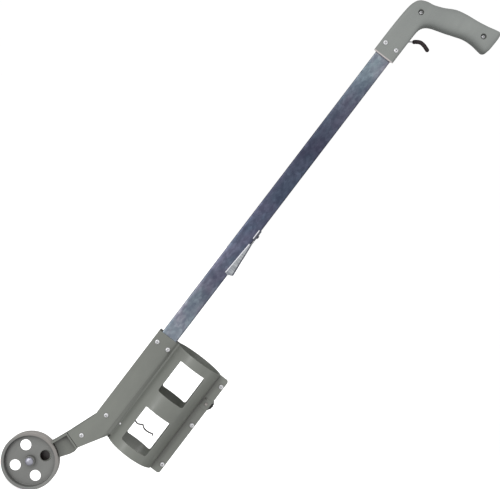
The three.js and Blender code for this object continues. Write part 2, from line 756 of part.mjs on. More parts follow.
function strandCurve(y) {
  return smoothCurve([
    [yoke.x + 1.3, y, yoke.z + 1.1],
    [28, y, -131.6],
    [33.5, y, -128.2],
    [38.8, y, -129.2],
    [42.5, y, -128.2],
    [46.6, y, -125.9],
    [49.6, y, -128.3],
    [54.5, y, -129.7],
    [60.5, y, -129.4],
    [65.4, y, -128.1],
    [strand.tipX, y, strand.tipZ],
  ]);
}

function strands(radius) {
  return [-strand.y, strand.y].map((y) => swept(strandCurve(y), radius, 36, 6));
}

function yokeWire() {
  const bridgeHalf = strand.y + 1;
  const bridge = pinY(strand.tipX, strand.tipZ - 0.2, strand.wire, [-bridgeHalf, bridgeHalf], 10);
  return join(...strands(strand.wire), bridge);
}

function yokeLever() {
  const { x, z, halfWidth } = yoke;
  const { halfY, halfZ, crossPin } = yokeArm;
  const boss = pinY(x, z, yoke.hub, [-halfWidth, halfWidth], 20);
  const tail = block([rod.footX - 0.4, x - 1.6], [-halfY, halfY], [z - halfZ, z + halfZ]);
  const tailPin = pinY(rod.footX, z, halfZ, [-crossPin, crossPin], 12);
  const bore = pinY(x, z, yoke.pin + snug, [-halfWidth - 2, halfWidth + 2], 16);
  return cut(join(boss, tail, tailPin), bore, ...strands(strand.wire + 0.06));
}

// ---------------------------------------------------------------- assembly
place("tube", squareTube(), galvanised());
place("belt_clip", beltClip(), brightSteel());
place("belt_clip_rivet", clipRivet(), brightSteel());

const core = bodyCore();
place("body_shell_near", bodyNear(core), bodyPlastic());
place("body_shell_far", bodyFar(core), bodyPlastic());
throughScrew("collar_left", -collarScrews.x, collarScrews.z, body.halfDepth, body.halfDepth);
throughScrew("collar_right", collarScrews.x, collarScrews.z, body.halfDepth, body.halfDepth);
throughScrew("arm_upper", ...armScrews[0], body.halfDepth, body.halfDepth);
throughScrew("arm_lower", ...armScrews[1], body.halfDepth, body.halfDepth);
flange.screwZ.forEach((z, i) => {
  throughScrew(`flange_${["top", "middle", "bottom"][i]}`, flange.screwX, z, earHalf, earHalf);
});

place("clamp_stud", clampStud(), dullSteel());
const washerSpan = [earHalf + 0.1, earHalf + 1.15];
place("clamp_washer", ringY(clamp.x, clamp.z, clamp.stud + 0.15, clamp.washer, washerSpan), brightSteel());
place("clamp_knob", clampKnob(), blackVinyl());

place("wheel_bracket", wheelBracket(), wheelPlastic());
place("wheel", guideWheel(), wheelPlastic());
place("wheel_bushing", wheelBushing(), whiteNylon());
place("axle", headedAxle(), brightSteel());
place("axle_washer", ringY(wheel.x, wheel.z, axle.radius + 0.1, 8, [9.75, 10.6]), brightSteel());
place("axle_nut", hexNut(wheel.x, wheel.z, axle.nut, axle.nutFlats, axle.radius + snug, 24), brightSteel());

const grips = gripCore();
place("grip_shell_near", gripNear(grips), gripPlastic());
place("grip_shell_far", gripFar(grips), gripPlastic());
throughScrew("socket_left", -socketScrews.x, socketScrews.z, grip.halfDepth, grip.halfDepth);
throughScrew("socket_right", socketScrews.x, socketScrews.z, grip.halfDepth, grip.halfDepth);
gripScrews.forEach(([x, z], i) => {
  const solid = screw(x, z, recess.seat - 0.05, recess.tip, recess.head);
  place(`grip_${["front", "rear"][i]}_screw`, solid, brightSteel());
});

const { pinHalf } = trigger;
place("trigger_pin", pinY(trigger.x, trigger.z, trigger.pin, [-pinHalf, pinHalf], 16), brightSteel());
place("trigger_lever", triggerLever(), whiteNylon());
place("trigger_wire", swept(wireCurve(), trigger.wire, 16), brightSteel());
place("trigger_sleeve", triggerSleeve(), blackVinyl());
place("push_rod", pushRod(), darkSteel());
place("rod_collar", rodCollar(), brightSteel());
place("return_spring", returnSpring(), brightSteel());
place("rod_guide_upper", rodGuide(guides.upper), whiteNylon());
place("rod_guide_lower", rodGuide(guides.lower), whiteNylon());
place("rod_foot", rodFoot(), whiteNylon());
place("yoke_pin", pinY(yoke.x, yoke.z, yoke.pin, [-17.6, 17.6], 16), brightSteel());
place("yoke_lever", yokeLever(), whiteNylon());
place("yoke_wire", yokeWire(), darkSteel());

export default wand;
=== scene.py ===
"""Looks for the aerosol line-marking wand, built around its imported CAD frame. Metres, +Z up the tube."""

import json
import math

import bmesh
import bpy
from mathutils import Matrix, Vector


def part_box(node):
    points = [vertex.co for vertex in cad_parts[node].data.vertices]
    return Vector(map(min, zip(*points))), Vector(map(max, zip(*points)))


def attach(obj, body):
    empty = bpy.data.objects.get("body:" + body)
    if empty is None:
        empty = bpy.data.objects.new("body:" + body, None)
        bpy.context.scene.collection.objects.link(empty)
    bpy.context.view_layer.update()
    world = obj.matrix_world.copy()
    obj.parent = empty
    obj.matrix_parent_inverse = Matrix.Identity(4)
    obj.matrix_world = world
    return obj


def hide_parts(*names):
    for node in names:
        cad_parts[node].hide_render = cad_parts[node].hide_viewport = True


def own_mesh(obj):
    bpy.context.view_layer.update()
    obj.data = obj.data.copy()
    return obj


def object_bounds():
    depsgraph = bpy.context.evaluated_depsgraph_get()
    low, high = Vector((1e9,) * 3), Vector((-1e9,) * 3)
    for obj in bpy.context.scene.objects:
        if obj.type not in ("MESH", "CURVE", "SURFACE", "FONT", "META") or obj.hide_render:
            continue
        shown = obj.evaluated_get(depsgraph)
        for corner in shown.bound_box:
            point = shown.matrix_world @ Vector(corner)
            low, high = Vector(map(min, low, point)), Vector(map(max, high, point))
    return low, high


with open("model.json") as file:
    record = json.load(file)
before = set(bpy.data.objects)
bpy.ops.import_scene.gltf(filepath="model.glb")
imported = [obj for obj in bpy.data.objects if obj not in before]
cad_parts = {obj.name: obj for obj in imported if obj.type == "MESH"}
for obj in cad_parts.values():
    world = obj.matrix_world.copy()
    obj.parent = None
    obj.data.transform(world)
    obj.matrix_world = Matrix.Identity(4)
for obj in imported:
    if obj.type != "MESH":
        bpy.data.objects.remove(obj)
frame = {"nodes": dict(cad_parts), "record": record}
cad_box = [list(corner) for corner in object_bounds()]
MM = 0.001

# ---------------------------------------------------------------- places, read from the frame
TUBE_LOW, TUBE_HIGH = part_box("tube")
AXIS_X = (TUBE_LOW.x + TUBE_HIGH.x) / 2
BODY_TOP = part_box("body_shell_near")[1].z


def at(x, y, z):
    """A place from millimetres: X and Y from the tube's axis, Z from the body's upper edge."""
    return Vector((AXIS_X + x * MM, y * MM, BODY_TOP + z * MM))


def middle(node):
    """The centre of a CAD node's box, in the millimetres that at() takes."""
    low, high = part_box(node)
    centre = (low + high) / 2
    return Vector(((centre.x - AXIS_X) / MM, centre.y / MM, (centre.z - BODY_TOP) / MM))


WHEEL_SPOT = middle("wheel")
CHEEK_INNER = 10.8
POCKET_FLOOR = -6
GRIP_HALF_DEPTH = 17
GRIP_MOUTH = 508
GRIP_MOUTH_SLOPE = math.radians(12.4)
VALLEY_X = 17.5


# ---------------------------------------------------------------- materials
class Nodes:
    """A small builder for one material's node tree."""

    def __init__(self, name):
        """Starts the material called name."""
        self.material = bpy.data.materials.new(name)
        self.material.use_nodes = True
        self.tree = self.material.node_tree
        self.shader = self.tree.nodes["Principled BSDF"]
        self.place = self.add("ShaderNodeTexCoord").outputs["Object"]

    def add(self, kind, links=None, **settings):
        """A new node, with its settings and what is plugged into its sockets."""
        node = self.tree.nodes.new(kind)
        for key, value in settings.items():
            setattr(node, key, value)
        for socket, source in (links or {}).items():
            self.plug(node, socket, source)
        return node

    def plug(self, node, socket, source):
        """Links an output to the node's socket, or sets the socket to a plain value."""
        if hasattr(source, "links"):
            self.tree.links.new(source, node.inputs[socket])
        else:
            node.inputs[socket].default_value = source

    def spot(self, stretch):
        """The place in the piece, stretched along its axes."""
        return self.add("ShaderNodeMapping", {"Vector": self.place, "Scale": stretch}).outputs[0]

    def noise(self, scale, detail=4.0, stretch=(1, 1, 1), roughness=0.55):
        """A cloudy grey pattern."""
        links = {"Vector": self.spot(stretch), "Scale": scale, "Detail": detail, "Roughness": roughness}
        return self.add("ShaderNodeTexNoise", links).outputs["Fac"]

    def cells(self, scale, stretch=(1, 1, 1)):
        """One random grey for each cell of a Voronoi pattern."""
        links = {"Vector": self.spot(stretch), "Scale": scale}
        colour = self.add("ShaderNodeTexVoronoi", links).outputs["Color"]
        return self.add("ShaderNodeSeparateColor", {"Color": colour}).outputs["Red"]

    def axis(self, name):
        """The place's own X, Y or Z, in metres."""
        return self.add("ShaderNodeSeparateXYZ", {"Vector": self.place}).outputs[name]

    def math(self, operation, first, second=0.0):
        """One sum on two values."""
        return self.add("ShaderNodeMath", {0: first, 1: second}, operation=operation).outputs[0]

    def band(self, value, start, end, low=0.0, high=1.0):
        """Maps start..end on to low..high, and holds the ends."""
        links = {"Value": value, "From Min": start, "From Max": end, "To Min": low, "To Max": high}
        return self.add("ShaderNodeMapRange", links).outputs["Result"]

    def ramp(self, value, stops):
        """The colour at a value, between stops of (value, colour)."""
        node = self.add("ShaderNodeValToRGB", {"Fac": value})
        elements = node.color_ramp.elements
        while len(elements) < len(stops):
            elements.new(0.5)
        for element, (position, colour) in zip(elements, stops):
            element.position = position
            element.color = (*colour, 1)
        return node.outputs["Color"]

    def mix(self, factor, first, second, blend="MIX"):
        """The first colour with the second laid over it by a factor."""
        node = self.add("ShaderNodeMix", data_type="RGBA", blend_type=blend)
        for socket, source in ((0, factor), (6, first), (7, second)):
            plain = isinstance(source, tuple)
            self.plug(node, socket, (*source, 1) if plain else source)
        return node.outputs[2]

    def bump(self, height, strength, distance):
        """Adds a bump to those that the shader already has."""
        links = {"Height": height, "Strength": strength, "Distance": distance}
        if self.shader.inputs["Normal"].is_linked:
            links["Normal"] = self.shader.inputs["Normal"].links[0].from_socket
        bumped = self.add("ShaderNodeBump", links)
        self.tree.links.new(bumped.outputs["Normal"], self.shader.inputs["Normal"])

    def set(self, **sockets):
        """Fills the shader's sockets, named in small letters, and returns the finished material."""
        for name, value in sockets.items():
            self.plug(self.shader, name.replace("_", " ").title().replace("Ior", "IOR"), value)
        return self.material


# The dark brown that paints shade into hollows and recesses.
HOLLOW_SHADE = (0.03, 0.026, 0.022)


def scaled(colour, factor):
    """The colour with each channel multiplied."""
    return tuple(channel * factor for channel in colour)


def openness(nodes, reach, inside=False, alone=False):
    """1 where nothing lies within reach, in metres, and less the more does."""
    only_local = inside or alone
    links = {"Distance": reach}
    node = nodes.add("ShaderNodeAmbientOcclusion", links, samples=8, inside=inside, only_local=only_local)
    return node.outputs["AO"]


def edge_mask(nodes):
    """0 on flat stretches, rising to 1 along sharp outer edges."""
    return nodes.band(openness(nodes, 0.0012, inside=True), 0.9, 0.55)


def scratches(nodes, scale, stretch):
    """Thin bright lines where a stretched noise crosses its middle."""
    field = nodes.noise(scale, 2, stretch)
    distance = nodes.math("ABSOLUTE", nodes.math("SUBTRACT", field, 0.5))
    return nodes.band(distance, 0.0, 0.006, 1.0, 0.0)


def moulded_plastic(name, colour, roughness, scuffs=0.25, gloss=0.7, alone=False, hollows=1.0, marks=None):
    """Moulded polypropylene: pebbled skin, slow colour drift, scuffs, painted shade in hollows, and edges
    lightened by rubbing and as a painted highlight.

    alone: a moving part, whose painted shade comes from its own hollows only; hollows: how dark the painted
    shade gets;
    marks: adds the part's own painted light and shade.
    """
    n = Nodes(name)
    drift = n.ramp(n.noise(11, 3), [(0.34, scaled(colour, 0.92)), (0.66, scaled(colour, 1.08))])
    flow = n.ramp(n.noise(34, 5, (1, 1, 0.3)), [(0.3, (0.93, 0.93, 0.93)), (0.7, (1.06, 1.06, 1.05))])
    base = n.mix(1.0, drift, flow, "MULTIPLY")
    # Painted shade: the colour darkens in deep hollows and tight corners, unevenly under a cloudy noise.
    hollow = n.band(openness(n, 0.045, alone=alone), 0.8, 0.5, 0.0, hollows)
    corner = n.band(openness(n, 0.006, alone=alone), 0.85, 0.35, 0.0, 0.8 * hollows)
    cloudy = n.band(n.noise(70, 4, (1, 1, 0.3)), 0.3, 0.7, 0.8, 1.0)
    shade_mask = n.math("MULTIPLY", n.math("MAXIMUM", hollow, corner), cloudy)
    in_shade = n.mix(shade_mask, base, HOLLOW_SHADE)
    scuffing = n.band(n.noise(16, 3), 0.5, 0.7, 0.0, scuffs)
    patches = n.math("MULTIPLY", scratches(n, 55, (1, 1, 0.25)), scuffing)
    scuffed = n.mix(patches, in_shade, scaled(colour, 1.7))
    # Sharp edges lightened: rubbed wear, and a painted edge highlight.
    lightened = n.mix(n.math("MULTIPLY", edge_mask(n), 0.45), scuffed, scaled(colour, 1.4))
    marked = marks(n, lightened) if marks else lightened
    n.bump(n.noise(1900, 2), 0.12, 0.0002)
    n.bump(n.noise(120, 3), 0.08, 0.0006)
    polish = n.band(n.noise(60, 4), 0.3, 0.7, roughness - 0.05, roughness + 0.08)
    return n.set(base_color=marked, roughness=polish, specular_ior_level=gloss)


def beside(nodes, x, z, start, end):
    """1 within start and 0 beyond end, in millimetres from the line through (x, z) along Y."""
    spot = at(x, 0, z)
    flat = nodes.add("ShaderNodeVectorMath", {0: nodes.place, 1: (1, 0, 1)}, operation="MULTIPLY").outputs[0]
    aside = nodes.add("ShaderNodeVectorMath", {0: flat, 1: spot}, operation="DISTANCE").outputs["Value"]
    return nodes.band(aside, start * MM, end * MM, 1.0, 0.0)


def within(nodes, axis, middle_mm, half_mm):
    """1 where the place's own X, Y or Z is within half of a middle, both in millimetres."""
    off = nodes.math("ABSOLUTE", nodes.math("SUBTRACT", nodes.axis(axis), middle_mm * MM))
    return nodes.band(off, half_mm * MM, (half_mm + 0.4) * MM, 1.0, 0.0)


def bracket_light_and_shade(nodes, base):
    """Painted light and shade on the bracket: painted shade on the pocket floor, the cheek face behind the
    wheel painted paler, and a near-black painted shadow behind one of the wheel's holes.
    """
    x, z = WHEEL_SPOT.x, WHEEL_SPOT.z
    near_rim = beside(nodes, x, z, 44, 56)
    on_floor = within(nodes, "Y", POCKET_FLOOR, 0.3)
    # Painted shade: the pocket floor darkened, most next to the wheel's rim.
    floor_shade = nodes.math("MULTIPLY", on_floor, nodes.band(near_rim, 0, 1, 0.22, 0.6))
    dull = nodes.mix(floor_shade, base, scaled(BODY_GREY, 0.25))
    # Painted light: the cheek face behind the wheel lightened against its shade, most beyond the wheel's
    # edge.
    on_face = within(nodes, "Y", CHEEK_INNER, 0.3)
    face_grey = nodes.mix(beside(nodes, x, z, 38, 40), scaled(BODY_GREY, 4), scaled(BODY_GREY, 1.8))
    pale = nodes.mix(on_face, dull, face_grey)
    # Painted shadow: a near-black disc on the cheek face, seen through one of the wheel's holes.
    patch = beside(nodes, x + 12.3, z + 15.4, 6.8, 7.6)
    return nodes.mix(nodes.math("MULTIPLY", on_face, patch), pale, (0.012, 0.004, 0.004))


def wheel_light_and_shade(nodes, base):
    """Painted light and shade on the wheel: its rim paler and browner at its upper side, its tread paler, and
    a painted shadow ring inside the rim on its forward side.
    """
    # Painted light: the rim paler and browner on its upper side, where light falls on it.
    rim = nodes.math("SUBTRACT", 1.0, beside(nodes, WHEEL_SPOT.x, WHEEL_SPOT.z, 36.5, 38.0))
    upper = nodes.band(nodes.axis("Z"), at(0, 0, WHEEL_SPOT.z + 5).z, at(0, 0, WHEEL_SPOT.z + 35).z, 0.0, 0.6)
    lightened = nodes.mix(nodes.math("MULTIPLY", rim, upper), base, (0.3, 0.27, 0.25))
    # Painted light: the tread paler all round, lightening it where it lies in shade.
    tread = nodes.math("SUBTRACT", 1.0, beside(nodes, WHEEL_SPOT.x, WHEEL_SPOT.z, 41.1, 41.4))
    pale = nodes.mix(nodes.math("MULTIPLY", tread, 0.8), lightened, (0.44, 0.42, 0.4))
    # Painted shadow: a dark ring just inside the rim, strongest towards -X.
    inside = beside(nodes, WHEEL_SPOT.x, WHEEL_SPOT.z, 37, 37.6)
    ring = nodes.math("SUBTRACT", inside, beside(nodes, WHEEL_SPOT.x, WHEEL_SPOT.z, 33.5, 36))
    behind, ahead = (at(WHEEL_SPOT.x + step, 0, 0).x for step in (10, -28))
    forward = nodes.band(nodes.axis("X"), behind, ahead, 0.0, 0.7)
    return nodes.mix(nodes.math("MULTIPLY", ring, forward), pale, (0.05, 0.05, 0.05))


def shaded_valley(nodes, base):
    """A soft, even painted shade along the valley between the body's flat plate and its round cradle."""
    off = nodes.math("ABSOLUTE", nodes.math("SUBTRACT", nodes.axis("X"), AXIS_X + VALLEY_X * MM))
    return nodes.mix(nodes.band(off, 0.002, 0.009, 0.9, 0.0), base, scaled(BODY_GREY, 0.84))


def mouth_highlight(nodes, base):
    """A painted highlight along the grip's lip round the tube: a line of pale, slightly pink colour."""
    tilted = {0: nodes.place, 1: (0, -math.sin(GRIP_MOUTH_SLOPE), math.cos(GRIP_MOUTH_SLOPE))}
    along = nodes.add("ShaderNodeVectorMath", tilted, operation="DOT_PRODUCT").outputs["Value"]
    lip = Vector(tilted[1]).dot(at(0, -GRIP_HALF_DEPTH, GRIP_MOUTH))
    return nodes.mix(nodes.band(along, lip + 0.0012, lip + 0.0018, 0.85, 0.0), base, (0.62, 0.56, 0.55))


# Painted reflection: how the tube's colour darkens from its lower end (0) to its middle and lightens again
# towards its upper end (1).
TUBE_REFLECTION_TONES = [
    (0.17, (0.24, 0.26, 0.30)),
    (0.24, (0.23, 0.25, 0.29)),
    (0.29, (0.165, 0.18, 0.22)),
    (0.34, (0.11, 0.125, 0.17)),
    (0.48, (0.085, 0.10, 0.15)),
    (0.70, (0.065, 0.075, 0.115)),
    (0.81, (0.085, 0.10, 0.14)),
    (0.88, (0.15, 0.175, 0.22)),
    (0.93, (0.25, 0.28, 0.32)),
]


def galvanised_steel(name):
    """Zinc-coated tube: cloudy spangle in blue-greys, with a painted reflection that is pale near the shells
    and dark between them, and painted light and shade across its width.
    """
    n = Nodes(name)
    cloud = n.mix(0.45, n.noise(38, 4, (1, 1, 0.45), 0.6), n.noise(160, 4, (1, 1, 0.6), 0.6))
    spangle = n.mix(0.12, cloud, n.cells(260, (1, 1, 0.6)))
    mottle = n.ramp(spangle, [(0.36, (0.66, 0.66, 0.72)), (0.5, (1, 1, 1)), (0.62, (1.45, 1.45, 1.4))])
    hue = n.ramp(n.noise(46, 3, (1, 1, 0.5)), [(0.38, (1.08, 0.97, 1.03)), (0.62, (0.92, 1.02, 1.03))])
    height = n.band(n.axis("Z"), TUBE_LOW.z, TUBE_HIGH.z)
    # Painted reflection: the colour darkest in the tube's middle and palest towards its ends.
    tone = n.ramp(height, TUBE_REFLECTION_TONES)
    # Painted light and shade across the tube's width: lighter along its -X edge and darker along its +X edge,
    # fading to an even tone over its upper part.
    across = n.band(n.axis("X"), AXIS_X - 0.0128, AXIS_X + 0.0128)
    side_shading = [(0.0, (1.5, 1.5, 1.45)), (0.2, (1, 1, 1)), (0.93, (1, 1, 1)), (1.0, (0.6, 0.6, 0.65))]
    sides = n.ramp(across, side_shading)
    upward = n.band(height, 0.45, 0.65)
    edges = n.mix(upward, sides, (0.95, 0.95, 0.95))
    shaded = tone
    for layer in (mottle, hue, edges):
        shaded = n.mix(1.0, shaded, layer, "MULTIPLY")
    n.bump(n.noise(300, 3, (1, 1, 0.03)), 0.08, 0.0002)
    n.bump(n.cells(170, (1, 1, 0.5)), 0.05, 0.0002)
    return n.set(base_color=shaded, metallic=0.75, roughness=n.band(n.noise(45, 5), 0.3, 0.7, 0.32, 0.5))


def plated_steel(name, colour, roughness, metallic=1.0):
    """Zinc plate: fine grain, small dull spots, painted shade in its recesses and a slight uneven polish."""
    n = Nodes(name)
    tone = n.ramp(n.noise(400, 3), [(0.3, scaled(colour, 0.84)), (0.7, colour)])
    spots = n.band(n.noise(900, 2), 0.62, 0.7, 0.0, 0.5)
    dulled = n.mix(spots, tone, scaled(colour, 0.5))
    # Painted shade: the recesses, such as a screw's cross, darkened where shade falls.
    in_shade = n.mix(n.band(openness(n, 0.0014, alone=True), 0.75, 0.4), dulled, HOLLOW_SHADE)
    n.bump(n.noise(2500, 2), 0.05, 0.0001)
    spread = n.band(n.noise(700, 3), 0.3, 0.7, roughness, roughness + 0.14)
    return n.set(base_color=in_shade, metallic=metallic, roughness=spread)


def clip_sheet(name):
    """The clip's plated spring steel, with grinding marks across its tongue."""
    n = Nodes(name)
    marks = n.noise(900, 3, (0.1, 0.1, 1))
    tone = n.ramp(marks, [(0.35, (0.27, 0.285, 0.3)), (0.65, (0.5, 0.52, 0.54))])
    stained = n.mix(n.band(n.noise(60, 4), 0.5, 0.7, 0.0, 0.6), tone, (0.22, 0.24, 0.3))
    n.bump(marks, 0.15, 0.0002)
    return n.set(base_color=stained, metallic=0.8, roughness=n.band(n.noise(80, 4), 0.3, 0.7, 0.32, 0.5))


def oiled_wire(name):
    """Dark wire with a film of oil: a brownish black, uneven in tone and polish."""
    n = Nodes(name)
    tone = n.ramp(n.noise(300, 4), [(0.3, (0.05, 0.048, 0.045)), (0.7, (0.14, 0.135, 0.13))])
    n.bump(n.noise(1500, 2), 0.1, 0.0001)
    return n.set(base_color=tone, metallic=0.9, roughness=n.band(n.noise(220, 3), 0.3, 0.7, 0.34, 0.5))


def dipped_vinyl(name):
    """Thick vinyl dip: near-black, a little red, glossy over a slow orange-peel swell."""
    n = Nodes(name)
    tone = n.ramp(n.noise(120, 3), [(0.3, (0.012, 0.007, 0.008)), (0.7, (0.03, 0.018, 0.02))])
    n.bump(n.noise(400, 3), 0.2, 0.0006)
    shine = n.band(n.noise(160, 3), 0.3, 0.7, 0.22, 0.36)
    return n.set(base_color=tone, roughness=shine, specular_ior_level=0.3)


def black_moulding(name):
    """Black moulded plastic with edges rubbed to a dark grey."""
    n = Nodes(name)
    tone = n.ramp(n.noise(80, 3), [(0.3, (0.006, 0.006, 0.006)), (0.7, (0.016, 0.016, 0.016))])
    lightened = n.mix(edge_mask(n), tone, (0.05, 0.05, 0.05))
    n.bump(n.noise(1600, 2), 0.15, 0.0002)
    return n.set(base_color=lightened, roughness=n.band(n.noise(90, 3), 0.3, 0.7, 0.22, 0.36))


def natural_nylon(name):
    """Undyed nylon: a warm off-white with a fine grain."""
    n = Nodes(name)
    tone = n.ramp(n.noise(60, 3), [(0.3, (0.6, 0.59, 0.54)), (0.7, (0.72, 0.71, 0.67))])
    n.bump(n.noise(900, 2), 0.08, 0.0002)
    return n.set(base_color=tone, roughness=n.band(n.noise(140, 3), 0.3, 0.7, 0.38, 0.52))


BODY_GREY = (0.187, 0.196, 0.176)
GRIP_GREY = (0.255, 0.27, 0.26)
FINISHES = {
    "body_plastic": moulded_plastic("body_plastic", BODY_GREY, 0.34, marks=shaded_valley),
    "grip_plastic": moulded_plastic(
        "grip_plastic", GRIP_GREY, 0.4, gloss=0.45, hollows=0.6, marks=mouth_highlight
    ),
    "galvanised_tube": galvanised_steel("galvanised_tube"),
    "clip_steel": clip_sheet("clip_steel"),
    "bright_steel": plated_steel("bright_steel", (0.97, 0.97, 1.0), 0.22, 0.5),
    "dark_steel": oiled_wire("dark_steel"),
    "dull_steel": plated_steel("dull_steel", (0.38, 0.355, 0.34), 0.45, 0.6),
    "black_vinyl": dipped_vinyl("black_vinyl"),
    "black_plastic": black_moulding("black_plastic"),
    "white_nylon": natural_nylon("white_nylon"),
}
SLOT_OF = {part["node"]: part["material_slot"] for part in frame["record"]["subparts"]}
BODY_OF = {node: body for body, nodes in frame["record"]["behaviour"]["bodies"].items() for node in nodes}


# ---------------------------------------------------------------- making pieces
def dress(piece, node, finish=None):
    """Gives a finished piece its material, its body and the CAD node that it stands for."""
    piece.name = node + "_finished"
    piece.data.materials.clear()
    piece.data.materials.append(finish or FINISHES[SLOT_OF[node]])
    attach(piece, BODY_OF[node])
    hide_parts(node)
    return piece


def new_piece(name, bm):
    """A new object in the scene from a bmesh, which is used up."""
    mesh = bpy.data.meshes.new(name)
    bm.to_mesh(mesh)
    bm.free()
    piece = bpy.data.objects.new(name, mesh)
    bpy.context.scene.collection.objects.link(piece)
    return piece


def smooth(piece, angle=35):
    """Smooth shading, broken at edges sharper than the angle."""
    piece.data.shade_smooth()
    piece.data.set_sharp_from_angle(angle=math.radians(angle))
    return piece


def frozen(piece):
    """The piece with its modifiers applied to its mesh."""
    graph = bpy.context.evaluated_depsgraph_get()
    mesh = bpy.data.meshes.new_from_object(piece.evaluated_get(graph))
    piece.modifiers.clear()
    piece.data = mesh
    return piece


def carved(piece, *tools, operation="DIFFERENCE"):
    """The piece less each tool (or met with it); the tools are used up."""
    for tool in tools:
        cut = piece.modifiers.new("cut", "BOOLEAN")
        cut.object = tool
        cut.operation = operation
        cut.solver = "EXACT"
    frozen(piece)
    for tool in tools:
        bpy.data.objects.remove(tool)
    return piece


def rounded_edges(piece, width, segments=3, angle=32):
    """Rounds every edge sharper than the angle by a width in millimetres."""
    bevel = piece.modifiers.new("edges", "BEVEL")
    bevel.width = width * MM
    bevel.segments = segments
    bevel.limit_method = "ANGLE"
    bevel.angle_limit = math.radians(angle)
    bevel.harden_normals = True
    return smooth(piece)


def softened(node, width, segments=2, finish=None):
    """The CAD node's own shape with its flat facets merged and its sharp edges rounded."""
    bm = bmesh.new()
    bm.from_mesh(frame["nodes"][node].data)
    bmesh.ops.remove_doubles(bm, verts=bm.verts, dist=0.00002)
    bmesh.ops.dissolve_limit(bm, angle_limit=math.radians(0.6), verts=bm.verts, edges=bm.edges)
    return dress(rounded_edges(new_piece(node, bm), width, segments), node, finish)


def fillet(points, radius, closed=True, steps=4):
    """The outline with each corner turned into a short arc that starts a radius before it."""
    made = []
    last = len(points) - 1
    for i, corner in enumerate(points):
        if not closed and i in (0, last):
            made.append(tuple(corner))
            continue
        here = Vector(corner)
        before = Vector(points[i - 1]) - here
        after = Vector(points[(i + 1) % len(points)]) - here
        start = here + before.normalized() * min(radius, before.length * 0.45)
        end = here + after.normalized() * min(radius, after.length * 0.45)
        for step in range(steps + 1):
            share = step / steps
            made.append(tuple(start.lerp(here, share).lerp(here.lerp(end, share), share)))
    return made


def skin(bm, rings, closed=False):
    """Faces between neighbouring rings of the same length; a ring of one vertex is a point."""
    pairs = list(zip(rings, rings[1:])) + ([(rings[-1], rings[0])] if closed else [])
    for ring, after in pairs:
        count = max(len(ring), len(after))
        for i in range(count):
            j = (i + 1) % count
            corners = [ring[i % len(ring)], ring[j % len(ring)], after[j % len(after)], after[i % len(after)]]
            bm.faces.new(list(dict.fromkeys(corners)))
    bmesh.ops.recalc_face_normals(bm, faces=bm.faces)


def turned(profile, x, z, sides=64, closed=False, shape=lambda radius, angle: radius):
    """A profile of (radius, y) points turned about the line through (x, z) along Y."""
    bm = bmesh.new()
    rings = []
    for radius, y in profile:
        angles = [2 * math.pi * i / sides for i in range(sides)] if radius > 0.001 else [0.0]
        spokes = [(shape(radius, a), a) for a in angles]
        rings.append([bm.verts.new(at(x + r * math.cos(a), y, z + r * math.sin(a))) for r, a in spokes])
    skin(bm, rings, closed)
    return smooth(new_piece("turned", bm))


def prism(outline, y0, y1):
    """An outline of (x, z) points carried from y0 to y1."""
    bm = bmesh.new()
    rings = [[bm.verts.new(at(x, y, z)) for x, z in outline] for y in (y0, y1)]
    skin(bm, rings)
    for ring in rings:
        bm.faces.new(ring)
    bmesh.ops.recalc_face_normals(bm, faces=bm.faces)
    return new_piece("prism", bm)


def catmull(points, share):
    """The point at a share of the way along a smooth curve through the points."""
    place = share * (len(points) - 1)
    i = min(int(place), len(points) - 2)
    t = place - i
    p0, p1, p2, p3 = (points[min(max(j, 0), len(points) - 1)] for j in (i - 1, i, i + 1, i + 2))
    pull, push = (p2 - p0) / 2, (p3 - p1) / 2
    return p1 + pull * t + (3 * (p2 - p1) - 2 * pull - push) * t**2 + (2 * (p1 - p2) + pull + push) * t**3


def smooth_path(points, count):
    """Evenly counted places along a smooth curve through the points."""
    vectors = [Vector(point) for point in points]
    return [catmull(vectors, i / (count - 1)) for i in range(count)]


def dome_ring(spot, tangent, side, reach, turn):
    """One section of a bar's domed end: where it is, how it stands and its share of the radius."""
    return spot + tangent * reach * math.cos(turn), tangent, side, math.sin(turn)


def bar(path, radius, sides=16, tip_steps=5):
    """A round bar along a path of (x, y, z) places, with domed ends."""
    bm = bmesh.new()
    last = len(path) - 1
    tangents = [(path[min(i + 1, last)] - path[max(i - 1, 0)]).normalized() for i in range(len(path))]
    side = tangents[0].orthogonal().normalized()
    sections = []
    for spot, tangent in zip(path, tangents):
        side = (side - tangent * side.dot(tangent)).normalized()
        sections.append((spot, tangent, side, 1.0))
    turns = [math.pi / 2 * i / tip_steps for i in range(tip_steps)]
    spot, tangent, side, _ = sections[0]
    head = [dome_ring(spot, tangent, side, -radius, turn) for turn in turns]
    spot, tangent, side, _ = sections[-1]
    tail = [dome_ring(spot, tangent, side, radius, turn) for turn in reversed(turns)]
    rings = []
    for spot, tangent, side, size in head + sections + tail:
        across = tangent.cross(side)
        angles = [2 * math.pi * i / sides for i in range(sides)] if size > 0 else [0.0]
        arms = [(side * math.cos(a) + across * math.sin(a)) * radius * size for a in angles]
        rings.append([bm.verts.new(at(*(spot + arm))) for arm in arms])
    skin(bm, rings)
    return smooth(new_piece("bar", bm))


